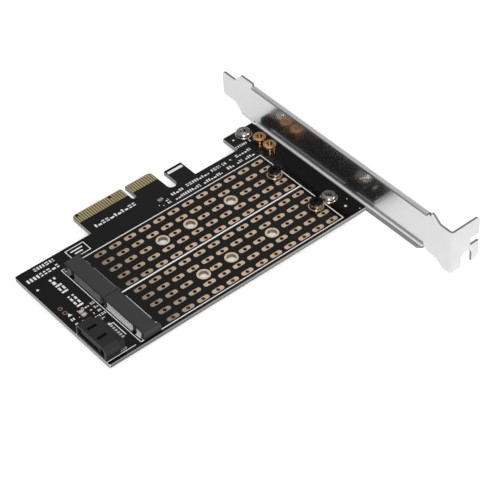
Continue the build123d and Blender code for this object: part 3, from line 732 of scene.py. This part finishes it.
def rounded_copy(node, name, finish, slot, width):
    """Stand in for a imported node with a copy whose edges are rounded, in millimetres."""
    shape = node_copy(node)
    bmesh.ops.dissolve_limit(shape, angle_limit=math.radians(1.0), verts=shape.verts,
                             edges=shape.edges)
    piece = add_piece(name, finish_mesh(shape, MOULDED_SMOOTH), finish, (node,))
    edge_round = piece.modifiers.new("Edge round", "BEVEL")
    edge_round.width = width * MM
    edge_round.segments = 2
    edge_round.limit_method = "ANGLE"
    edge_round.angle_limit = math.radians(BEVEL_ANGLE)
    edge_round.harden_normals = True
    return piece


# Board and copper

def pad_places():
    """Places of the heat pads in millimetres, without those that a mounting hole takes."""
    pitch_x, pitch_y = PAD_PITCH
    holes = module_holes(MODULE_LENGTHS)
    spots = [(FIRST_PAD[0] - column * pitch_x, FIRST_PAD[1] - row * pitch_y)
             for column in range(PAD_COLUMNS) for row in range(PAD_ROWS)]
    return [(x, y) for x, y in spots
            if not any(abs(x - hole_x) < pitch_x / 2 and abs(y - hole_y) < pitch_y / 2
                       for hole_x, hole_y in holes)]


def eyelets_mesh(places, half_straight, outer_radius, bore_radius, plating, segments):
    """Plated holes: pads on both faces, joined by sleeves through the board."""
    top = BOARD_TOP + plating
    bottom = BOARD_BOTTOM - plating
    rims = ((outer_radius, top, half_straight), (bore_radius, top, 0.0),
            (bore_radius, bottom, 0.0), (outer_radius, bottom, half_straight))
    shape = bmesh.new()
    for x, y in places:
        loops = []
        for radius, height, straight in rims:
            rim = bmesh.ops.create_circle(shape, segments=segments, radius=radius)["verts"]
            for vertex in rim:
                if abs(vertex.co.x) > MERGE_DISTANCE:
                    vertex.co.x += math.copysign(straight, vertex.co.x)
            bmesh.ops.translate(shape, verts=rim, vec=(x * MM, y * MM, height))
            loops.append({edge for vertex in rim for edge in vertex.link_edges})
        for first, second in zip(loops, loops[1:]):
            bmesh.ops.bridge_loops(shape, edges=list(first | second))
    bmesh.ops.recalc_face_normals(shape, faces=shape.faces)
    bmesh.ops.solidify(shape, geom=shape.faces[:], thickness=plating * 0.95)
    return finish_mesh(shape, MOULDED_SMOOTH)


def flat_ring(shape, centre, inner, outer, high_y):
    """Thin annulus on the board, in millimetres, cut straight at the board's edge or a limit."""
    outline = ((inner, 0.0), (outer, 0.0), (outer, SEAT_THICKNESS), (inner, SEAT_THICKNESS),
               (inner, 0.0))
    for vertex in add_copy(shape, finish_mesh(lathe(outline)), on_board(*centre)):
        vertex.co.y = min(max(vertex.co.y, BOARD_LOW.y), high_y * MM)


class CARD_OT_board(bpy.types.Operator):
    """Drill the plated holes through a copy of the board and give it its solder mask"""

    bl_idname = "card.board"
    bl_label = "Circuit board"

    def execute(self, context):
        copper = context.scene.adapter_card.copper
        pad_radius = copper.via_diameter / 2 + copper.plating
        lead_radius = LEAD_HOLE / 2 * MM + copper.plating
        holes = [(spot, pad_radius) for spot in pad_places()]
        holes += [(spot, lead_radius) for spot in LEAD_PLACES]
        drills = bmesh.new()
        for spot, radius in holes:
            bmesh.ops.create_cone(
                drills, cap_ends=True, segments=HOLE_SEGMENTS, radius1=radius, radius2=radius,
                depth=3 * BOARD_TOP, matrix=Matrix.Translation(place(*spot)))
        drilled = cut_with(node_copy("circuit_board"), drills)
        add_piece("board_drilled", drilled, "board_mask", ("circuit_board",))
        return {"FINISHED"}


class CARD_OT_copper(bpy.types.Operator):
    """Plate the heat pads, mounting rings and card edge"""

    bl_idname = "card.copper"
    bl_label = "Plated copper"

    def execute(self, context):
        copper = context.scene.adapter_card.copper
        radius = copper.pad_width / 2
        ring_plating = copper.plating / 2
        pads = eyelets_mesh(pad_places(), copper.pad_length / 2 - radius, radius,
                            copper.via_diameter / 2, copper.plating, HOLE_SEGMENTS)
        add_piece("heat_pads", pads, "gold_pad", ("thermal_pads",))
        rings = eyelets_mesh(module_holes(MODULE_LENGTHS[:-1]), 0.0, copper.ring_diameter / 2,
                             copper.hole_diameter / 2 - ring_plating, ring_plating,
                             TURN_SEGMENTS)
        add_piece("mounting_eyelets", rings, "ring_gold", ("mounting_hole_rings",))
        leads = eyelets_mesh(LEAD_PLACES, 0.0, LEAD_RING / 2 * MM, LEAD_HOLE / 2 * MM,
                             copper.plating, HOLE_SEGMENTS)
        add_piece("lead_eyelets", leads, "lead_gold_painted_shade")
        seats = bmesh.new()
        for spot in POST_PLACES:
            flat_ring(seats, spot, *POST_SEAT, 0.0)
        for spot in BRACKET_SCREWS:
            flat_ring(seats, spot, *SCREW_SEAT, SEAT_LIMIT_Y)
        add_piece("seat_rings", finish_mesh(seats), "gold_pad")
        dress("edge_fingers_front", "finger_gold")
        dress("edge_fingers_back", "finger_gold")
        return {"FINISHED"}


# Standoffs and screws

def give_bore_shade(piece, places, radius):
    """Give the faces within a radius of each place, in millimetres, a dark brown material as
    painted shade down the bore.
    """
    piece.data.materials.append(card_material("standoff_bore"))
    for face in piece.data.polygons:
        if any((face.center - place(*spot)).xy.length < radius * MM for spot in places):
            face.material_index = 1


class CARD_OT_standoffs(bpy.types.Operator):
    """Turn the four brass standoffs with a broken edge and a threaded bore"""

    bl_idname = "card.standoffs"
    bl_label = "Standoffs"

    def execute(self, context):
        bore = thread(start=STANDOFF_TOP - 0.45, pitch=-0.4, turns=7,
                      first_radius=STANDOFF_BORE, second_radius=0.84)
        outline = [*STANDOFF_OUTLINE, *bore, (STANDOFF_BORE, STANDOFF_FOOT)]
        mesh = finish_mesh(lathe(outline))
        for name, places, finish, node in (
                ("module_posts", POST_PLACES, "post_brass", "module_standoffs"),
                ("spare_posts", SPARE_PLACES, "standoff_brass", "spare_standoffs")):
            piece = add_turned(name, mesh, places, finish, node)
            give_bore_shade(piece, places, radius=STANDOFF_BORE + 0.06)
        return {"FINISHED"}


class CARD_OT_screws(bpy.types.Operator):
    """Turn the screw heads and sink a cross recess in each"""

    bl_idname = "card.screws"
    bl_label = "Screws"

    def execute(self, context):
        crown = [(PAN_HEAD_RADIUS, PAN_HEAD_FOOT), (PAN_HEAD_RADIUS, PAN_HEAD_SHOULDER)]
        for step in range(1, PAN_CROWN_STEPS + 1):
            angle = step / PAN_CROWN_STEPS * math.pi / 2
            reach = PAN_CROWN_REACH * math.cos(angle)
            crown.append((PAN_HEAD_RADIUS - PAN_CROWN_REACH + reach,
                          PAN_HEAD_SHOULDER + PAN_CROWN_RISE * math.sin(angle)))
        crown.append((0.0, PAN_HEAD_TOP))
        turns = thread(start=-2.5, pitch=0.5, turns=6, first_radius=1.2, second_radius=1.43)
        shank = [*SHANK_TIP, *turns, SHANK_NECK]
        pan_head = cut_with(
            lathe(shank + crown),
            cross_cutter(length=3.1, width=0.72, depth=1.15, top=2.75, taper=0.55))
        add_turned("bracket_fixing_screws", pan_head, BRACKET_SCREWS, "screw_steel",
                   "bracket_screws")
        flat_head = cut_with(
            lathe(FLAT_HEAD_OUTLINE),
            cross_cutter(length=2.3, width=0.55, depth=0.6, top=STANDOFF_TOP + 0.9, taper=0.5))
        add_turned("module_holding_screws", flat_head, POST_PLACES, "black_screw",
                   "module_screws")
        return {"FINISHED"}


# Sockets, bracket and chips

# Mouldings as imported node, piece, material, slot and edge rounding in millimetres
MOULDINGS = (
    ("m_key_socket_housing", "upper_socket_moulding", "drive_socket_plastic",
     "socket_plastic", 0.09),
    ("b_key_socket_housing", "lower_socket_moulding", "drive_socket_plastic",
     "socket_plastic", 0.09),
    ("cable_socket_housing", "cable_socket_moulding", "cable_socket_plastic",
     "cable_socket_plastic", 0.1))

# Packed contacts and hold-downs with their materials; the drive sockets' contacts take a painted
# shade copy and a painted highlight copy of the tin
SOCKET_METALS = (
    ("m_key_socket_contacts", "tinned_lead_dull"),
    ("b_key_socket_contacts", "tinned_lead_bright"),
    ("drive_socket_hold_downs", "tinned_lead"),
    ("cable_socket_contacts", "tinned_lead"),
    ("cable_socket_hold_downs", "tinned_lead"))


def solder_lands():
    """Rounded strips of solder on the cable socket's tails."""
    low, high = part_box("cable_socket_contacts")
    first_y = low.y + (high.y - low.y - CABLE_PITCH * MM * (CABLE_CONTACTS - 1)) / 2
    half_width = LAND_WIDTH * MM / 2
    height = LAND_HEIGHT * MM
    lands = bmesh.new()
    for step in range(CABLE_CONTACTS):
        y = first_y + step * CABLE_PITCH * MM
        add_block(lands, Vector((LAND_ENDS[0] * MM, y - half_width, BOARD_TOP)),
                  Vector((LAND_ENDS[1] * MM, y + half_width, BOARD_TOP + height)))
    upper_edges = [edge for edge in lands.edges
                   if all(vertex.co.z > BOARD_TOP + height / 2 for vertex in edge.verts)]
    bmesh.ops.bevel(lands, geom=upper_edges, offset=height * LAND_ROUNDING, segments=2,
                    profile=0.5, affect="EDGES", material=-1)
    return finish_mesh(lands, SOLDER_SMOOTH)


class CARD_OT_sockets(bpy.types.Operator):
    """Round the edges of the sockets' mouldings and give their contacts a solder finish"""

    bl_idname = "card.sockets"
    bl_label = "Sockets"

    def execute(self, context):
        for moulding in MOULDINGS:
            rounded_copy(*moulding)
        add_piece("cable_socket_solder", solder_lands(), "solder")
        for node, finish in SOCKET_METALS:
            dress(node, finish)
        return {"FINISHED"}


class CARD_OT_bracket(bpy.types.Operator):
    """Break the edges of the bright bracket and give its sheared sides a steel that is rougher,
    as cut steel is, and darker as a painted dark reflection
    """

    bl_idname = "card.bracket"
    bl_label = "Slot bracket"

    def execute(self, context):
        piece = rounded_copy("slot_bracket", "bright_bracket", "bracket_steel",
                             "bracket_steel", 0.06)
        # Sheared sides: rough cut steel, darkened as a painted dark reflection
        piece.data.materials.append(card_material("sheared_steel"))
        shape = bmesh.new()
        shape.from_mesh(piece.data)
        for face in shape.faces:
            if any(abs(edge.calc_length() - BRACKET_SHEET * MM) < SHEET_TOLERANCE * MM
                   for edge in face.edges):
                face.material_index = 1
        shape.to_mesh(piece.data)
        shape.free()
        return {"FINISHED"}


class CARD_OT_chips(bpy.types.Operator):
    """Round the edges of the chip components' bodies and tinned ends"""

    bl_idname = "card.chips"
    bl_label = "Chips"

    def execute(self, context):
        rounded_copy("chip_bodies", "ceramic_bodies", "chip_ceramic", "chip_ceramic", 0.05)
        rounded_copy("chip_terminals", "tinned_ends", "tinned_lead", "terminal_tin", 0.06)
        return {"FINISHED"}


# Lines of print along X as left, right, y, width, and along Y as x, low, high, width
UPRIGHT_INK_SHARE = 0.8
DRIVE_FRAME_LEFT = -31.55
DRIVE_FRAME_RIGHT = 47.28
DRIVE_FRAME_X = 47.1
DRIVE_FRAME_SPANS = ((-27.1, -19.7), (-49.4, -31.1), (-64.3, -54.1))
THIN_LINES = (
    (-40.45, -39.05, -20.0, 0.28), (-53.85, -42.25, -64.0, 0.25), (-53.85, -42.25, -47.15, 0.25),
    (-45.35, -41.7, -51.15, 0.3), (-34.4, -26.6, -13.5, 0.3), (-34.4, -26.6, -18.0, 0.3),
    (-33.0, -28.2, -15.0, 0.55), (-32.2, -29.0, -16.5, 0.55), (16.4, 22.9, -5.2, 1.2))
THIN_UPRIGHTS = (
    (-40.35, -64.15, -19.9, 0.28), (-41.85, -58.15, -51.0, 0.3), (-34.25, -18.0, -13.5, 0.3),
    (-26.75, -18.0, -13.5, 0.3))

# Rows of plain marks along X as left, right, y, height
MARK_ROWS = (
    (-47.3, -39.2, -13.8, 1.8), (-52.2, -39.5, -17.05, 2.2), (43.1, 48.1, -10.9, 1.3),
    (49.2, 50.4, -10.9, 1.3), (39.9, 46.6, -14.5, 1.6), (41.8, 46.4, -17.6, 1.6),
    (38.15, 40.6, -17.4, 1.6), (33.7, 36.5, -17.5, 1.8), (10.5, 15.5, -15.0, 1.6),
    (17.3, 27.35, -14.7, 1.6), (28.7, 32.7, -14.6, 1.6), (33.6, 35.5, -14.7, 1.6),
    (10.2, 21.4, -17.7, 1.6), (22.7, 31.0, -17.75, 1.6), (-19.0, -1.3, -10.0, 2.0),
    (7.05, 8.35, -16.0, 1.2), (6.95, 8.25, -17.6, 1.2), (-51.5, -49.9, -41.2, 1.4),
    (-51.55, -49.95, -43.3, 1.4), (-45.9, -43.2, -39.3, 1.3), (-44.15, -43.45, -41.45, 1.0),
    (-44.15, -43.45, -43.5, 1.0), (-44.9, -42.8, -45.55, 1.2), (-44.7, -42.9, -47.3, 1.2),
    (-42.4, -40.9, -39.3, 1.2), (-42.4, -40.9, -41.35, 1.2), (-42.4, -40.9, -43.45, 1.2),
    (-42.4, -40.9, -45.5, 1.2))
# Columns of plain marks along Y as low, high, x, width
MARK_COLUMNS = ((-29.2, -20.9, -45.1, 3.0), (-37.7, -31.6, -45.1, 3.0))
# Small printed spots as x, y, radius, corners
SPOTS = (
    (-51.66, -22.36, 0.45, 24), (-39.4, -21.3, 0.4, 24), (45.14, -6.97, 0.4, 24),
    (37.5, -14.5, 0.35, 24), (51.65, -60.3, 0.5, 24), (54.4, -57.95, 0.2, 16),
    (54.5, -64.5, 0.22, 16), (-50.5, -38.9, 0.95, 3), (-47.5, -39.1, 0.22, 4),
    (-48.6, -41.8, 0.22, 4), (-48.7, -43.7, 0.22, 4), (3.9, -16.5, 0.25, 4),
    (5.06, -17.6, 0.25, 4))

# Share of its height that each bar of a plain mark covers: a block, two bars, or a low bar
BLOCK_MARK = ((0.1, 0.9),)
MARK_KINDS = (BLOCK_MARK, ((0.1, 0.36), (0.64, 0.9)), ((0.1, 0.5),), BLOCK_MARK)
MARK_WIDTHS = (0.4, 0.75)
BLOCK_WIDTH = 0.34
MARK_GAP = 0.26
SHORTEST_MARK = 0.2
COLUMN_MARK_SHARE = 0.8


def plain_marks(draw, start, end, height):
    """Bars of uneven plain marks that fill a row, as start, end, low share and high share."""
    bars = []
    at = start
    while at < end - SHORTEST_MARK:
        width = min(height * draw.uniform(*MARK_WIDTHS), end - at)
        kind = draw.choice(MARK_KINDS)
        if kind == BLOCK_MARK:
            width = min(width, height * BLOCK_WIDTH)
        bars += [(at, at + width, low, high) for low, high in kind]
        at += width + MARK_GAP * height
    return bars


def print_bar(shape, low, high, ink_height):
    """Flat bar of print between two corners in millimetres."""
    add_block(shape, on_board(*low), on_board(*high) + Vector((0.0, 0.0, ink_height)))


class CARD_OT_print(bpy.types.Operator):
    """Print the white lines and plain marks on the board"""

    bl_idname = "card.print"
    bl_label = "White print"

    def execute(self, context):
        ink = context.scene.adapter_card.print
        line_width = ink.line_width / MM
        upright_height = ink.ink_height * UPRIGHT_INK_SHARE
        frame_lines = (
            (DRIVE_FRAME_LEFT, DRIVE_FRAME_RIGHT, -19.85, line_width),
            (DRIVE_FRAME_LEFT, 46.9, -41.95, ink.divider_width / MM),
            (-40.25, DRIVE_FRAME_RIGHT, -64.15, line_width))
        frame_uprights = [(DRIVE_FRAME_X, low, high, line_width)
                          for low, high in DRIVE_FRAME_SPANS]
        lines = bmesh.new()
        for left, right, y, width in (*frame_lines, *THIN_LINES):
            print_bar(lines, (left, y - width / 2), (right, y + width / 2), ink.ink_height)
        for x, low, high, width in (*frame_uprights, *THIN_UPRIGHTS):
            print_bar(lines, (x - width / 2, low), (x + width / 2, high), upright_height)
        add_piece("printed_lines", finish_mesh(lines), "print_white")
        marks = bmesh.new()
        draw = random.Random(ink.mark_seed)
        for rows, share, turn in ((MARK_ROWS, 1.0, 1), (MARK_COLUMNS, COLUMN_MARK_SHARE, -1)):
            for first, last, middle, width in rows:
                side = middle - width / 2
                for start, end, low, high in plain_marks(draw, first, last, width * share):
                    corners = ((start, side + low * width), (end, side + high * width))
                    print_bar(marks, *[corner[::turn] for corner in corners], ink.ink_height)
        for x, y, radius, corners in SPOTS:
            bmesh.ops.create_cone(marks, cap_ends=True, segments=corners, radius1=radius * MM,
                                  radius2=radius * MM, depth=2 * ink.ink_height,
                                  matrix=Matrix.Translation(on_board(x, y)))
        add_piece("printed_marks", finish_mesh(marks), "print_marks")
        return {"FINISHED"}


# Stage: camera in metres and degrees, and softbox by the camera in metres
CAMERA_PLACE = (-0.25216, -0.39989, 0.41808)
CAMERA_TURN = (46.119, 1.5065, -40.690)
CAMERA_LENS = 128.245
CAMERA_SENSOR = 36.0
CAMERA_SHIFT_X = -0.076
CAMERA_REACH = 20.0
SOFTBOX_SIZE = (0.12, 0.26)
SOFTBOX_SHARE = 1.05
SOFTBOX_AIM = (0.0, -0.04, 0.0)
FLOOR_DROP = 0.0001

# Parts of the sky as direction, cosines of edge and core, and strengths at the edge and core
SKY_SPREAD = ((0.758, -0.652, 0.0), (-0.75, 0.15), (0.22, 1.1))
LOW_CARD = ((-0.566, 0.57, 0.595), (0.80, 0.90), (0.0, 1.3))
DIM_CEILING = ((0.489, 0.57, 0.661), (0.90, 0.985), (0.0, -0.34))
LOW_CARD_SHARE = 0.16


class CARD_OT_stage(bpy.types.Operator):
    """Add the pale floor, the soft studio light and the camera"""

    bl_idname = "card.stage"
    bl_label = "Stage"

    def execute(self, context):
        stage = context.scene.adapter_card.stage
        make_floor(stage)
        make_world(context, stage)
        make_light(stage)
        make_camera(context)
        context.scene.view_settings.view_transform = "Standard"
        return {"FINISHED"}


def make_floor(stage):
    """Flat floor just under the card."""
    floor_z = CAD_BOX[0][2] - FLOOR_DROP
    shape = bmesh.new()
    bmesh.ops.create_grid(shape, x_segments=1, y_segments=1, size=stage.floor_size / 2)
    bmesh.ops.translate(shape, verts=shape.verts, vec=(0, 0, floor_z))
    mesh = finish_mesh(shape)
    mesh.materials.append(floor_material())
    new_object("floor", mesh)


def floor_material():
    """Pale matte floor, white to the camera and to polished metal where no shadow falls."""
    material = bpy.data.materials.new("floor_pale")
    material.use_nodes = True
    tree = material.node_tree
    matte = feed(tree, tree.nodes["Principled BSDF"], {
        "Base Color": (0.85, 0.85, 0.85), "Roughness": 0.9, "Specular IOR Level": 0.0})[0]
    path = tree.nodes.new("ShaderNodeLightPath").outputs
    to_camera = math_node(tree, "MULTIPLY", path["Is Camera Ray"], 0.45)
    to_metal = math_node(tree, "MULTIPLY", path["Is Glossy Ray"], 0.12)
    glow = feed(tree, tree.nodes.new("ShaderNodeEmission"), {
        "Strength": math_node(tree, "ADD", to_camera, to_metal)})[0]
    joined = feed(tree, tree.nodes.new("ShaderNodeAddShader"), {0: matte, 1: glow})[0]
    feed(tree, tree.nodes["Material Output"], {"Surface": joined})
    return material


def sky_part(tree, direction, towards, cosines, strengths):
    """Soft round part of the sky, with its strength at and outside its edge and in its core."""
    cosine = vector_node(tree, "DOT_PRODUCT", {0: direction, 1: towards})["Value"]
    return map_range(tree, cosine, *cosines, *strengths, smooth=True)


def make_world(context, stage):
    """Soft studio sky, white to the camera and brighter on its right."""
    world = bpy.data.worlds.new("studio")
    world.use_nodes = True
    tree = world.node_tree
    path = tree.nodes.new("ShaderNodeLightPath").outputs
    direction = tree.nodes.new("ShaderNodeTexCoord").outputs["Generated"]
    spread = sky_part(tree, direction, *SKY_SPREAD)
    seen_once = math_node(tree, "LESS_THAN", path["Ray Depth"], 1.5)
    card_share = map_range(tree, seen_once, low=LOW_CARD_SHARE, high=1.0)
    low_card = math_node(tree, "MULTIPLY", sky_part(tree, direction, *LOW_CARD), card_share)
    patches = math_node(tree, "ADD", low_card, sky_part(tree, direction, *DIM_CEILING))
    whole = math_node(tree, "ADD", spread, patches)
    sky = math_node(tree, "MULTIPLY", whole, stage.sky_strength)
    seen = path["Is Camera Ray"]
    unseen = math_node(tree, "SUBTRACT", 1.0, seen)
    strength = math_node(tree, "ADD", math_node(tree, "MULTIPLY", sky, unseen), seen)
    feed(tree, tree.nodes["Background"], {"Color": (1.0, 1.0, 1.0), "Strength": strength})
    context.scene.world = world


def make_light(stage):
    """Softbox behind the camera, which draws the bright streaks on the turned posts."""
    data = bpy.data.lights.new("camera_softbox", "AREA")
    data.shape = "RECTANGLE"
    data.size, data.size_y = SOFTBOX_SIZE
    data.energy = stage.key_power
    lamp = new_object("camera_softbox", data)
    lamp.location = Vector(CAMERA_PLACE) * SOFTBOX_SHARE
    aim = Vector(SOFTBOX_AIM) - lamp.location
    lamp.rotation_euler = aim.to_track_quat("-Z", "Y").to_euler()


def make_camera(context):
    """Camera at the photograph's viewing angle."""
    data = bpy.data.cameras.new("photo_camera")
    data.sensor_width = CAMERA_SENSOR
    data.lens = CAMERA_LENS
    data.shift_x = CAMERA_SHIFT_X
    data.clip_end = CAMERA_REACH
    camera = new_object("photo_camera", data)
    camera.location = CAMERA_PLACE
    camera.rotation_euler = [math.radians(angle) for angle in CAMERA_TURN]
    context.scene.camera = camera


# Panel and registration

class CardSettings(bpy.types.PropertyGroup):
    """All settings of the card."""

    copper: PointerProperty(type=CopperSettings)
    finish: PointerProperty(type=FinishSettings)
    print: PointerProperty(type=PrintSettings)
    stage: PointerProperty(type=StageSettings)


OPERATORS = (
    CARD_OT_board, CARD_OT_copper, CARD_OT_standoffs, CARD_OT_screws, CARD_OT_sockets,
    CARD_OT_bracket, CARD_OT_chips, CARD_OT_print, CARD_OT_stage)


class CARD_PT_panel(bpy.types.Panel):
    """Lists the card's settings and the steps that build it."""

    bl_idname = "CARD_PT_panel"
    bl_label = "Adapter card"
    bl_space_type = "VIEW_3D"
    bl_region_type = "UI"
    bl_category = "Adapter card"

    def draw(self, context):
        settings = context.scene.adapter_card
        for group_name in ("copper", "finish", "print", "stage"):
            box = self.layout.box()
            group = getattr(settings, group_name)
            box.label(text=group_name.capitalize())
            for name in group.__annotations__:
                box.prop(group, name)
        for operator in OPERATORS:
            self.layout.operator(operator.bl_idname)


CLASSES = (CopperSettings, FinishSettings, PrintSettings, StageSettings, CardSettings,
           *OPERATORS, CARD_PT_panel)


def register():
    """Register the classes and the scene's settings."""
    for item in CLASSES:
        bpy.utils.register_class(item)
    bpy.types.Scene.adapter_card = PointerProperty(type=CardSettings)


def unregister():
    """Undo register."""
    del bpy.types.Scene.adapter_card
    for item in reversed(CLASSES):
        bpy.utils.unregister_class(item)


def main():
    register()
    bpy.ops.card.board()
    bpy.ops.card.copper()
    bpy.ops.card.standoffs()
    bpy.ops.card.screws()
    bpy.ops.card.sockets()
    bpy.ops.card.bracket()
    bpy.ops.card.chips()
    bpy.ops.card.print()
    bpy.ops.card.stage()


if __name__ == "__main__":
    main()
